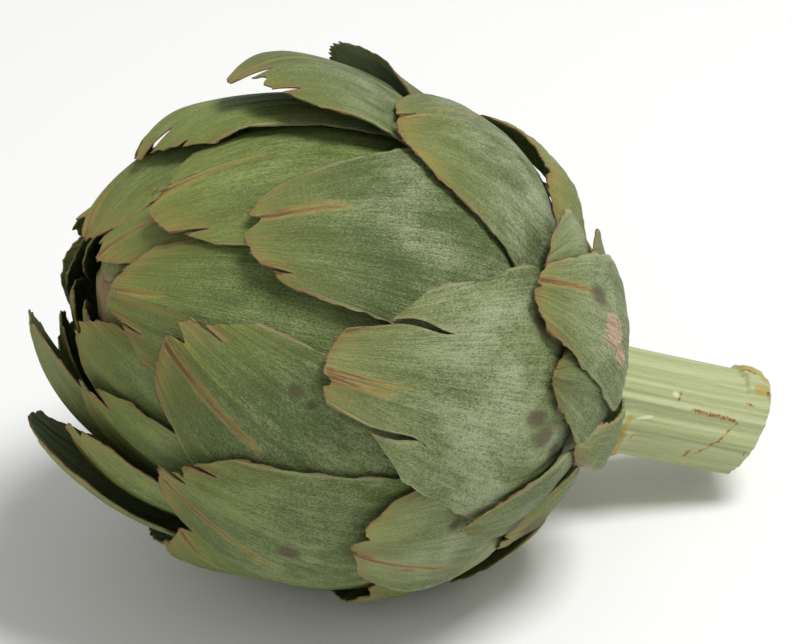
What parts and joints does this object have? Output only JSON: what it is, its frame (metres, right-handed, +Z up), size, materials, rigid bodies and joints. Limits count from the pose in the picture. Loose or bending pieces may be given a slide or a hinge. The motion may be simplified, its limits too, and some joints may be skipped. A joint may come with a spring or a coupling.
{
  "type": "artichoke",
  "caption": "Globe artichoke head with a short cut stem, lying on its side, its bracts overlapping and some standing off.",
  "frame": {"origin": "middle of the bounding box, on the surface that the artichoke lies on", "axes": "+Z up; the stem points to +X and a little down, the top of the bud to -X and a little up"},
  "size_m": [0.1596, 0.1062, 0.1142],
  "materials": {
    "outer_bract": "satin",
    "inner_bract": "satin",
    "bud": "satin",
    "stem": "matte"
  },
  "bodies": {
    "root": {"bract_01": "outer_bract", "bract_02": "outer_bract", "bract_03": "outer_bract", "bract_04": "outer_bract", "bract_05": "outer_bract", "bract_06": "outer_bract", "bract_07": "outer_bract", "bract_08": "outer_bract", "bract_09": "outer_bract", "bract_10": "outer_bract", "bract_11": "outer_bract", "bract_12": "outer_bract", "bract_13": "outer_bract", "bract_14": "outer_bract", "bract_15": "outer_bract", "bract_16": "outer_bract", "bract_17": "outer_bract", "bract_18": "outer_bract", "bract_19": "outer_bract", "bract_20": "outer_bract", "bract_21": "outer_bract", "bract_22": "outer_bract", "bract_23": "outer_bract", "bract_24": "outer_bract", "bract_25": "outer_bract", "bract_26": "outer_bract", "bract_27": "outer_bract", "bract_28": "outer_bract", "bract_29": "outer_bract", "bract_30": "outer_bract", "bract_31": "outer_bract", "bract_32": "outer_bract", "bract_33": "outer_bract", "bract_34": "outer_bract", "bract_35": "outer_bract", "bract_36": "outer_bract", "bract_37": "outer_bract", "bract_38": "outer_bract", "bract_39": "outer_bract", "bract_40": "outer_bract", "bract_41": "inner_bract", "bract_42": "inner_bract", "bract_43": "inner_bract", "bract_44": "inner_bract", "bract_45": "inner_bract", "bract_46": "inner_bract", "bract_47": "inner_bract", "bract_48": "inner_bract", "bract_49": "inner_bract", "bract_50": "inner_bract", "bract_51": "inner_bract", "bract_52": "inner_bract", "bract_53": "inner_bract", "bract_54": "inner_bract", "bract_55": "inner_bract", "bract_56": "inner_bract", "inner_bud": "bud", "stem_and_heart": "stem"}
  },
  "joints": []
}
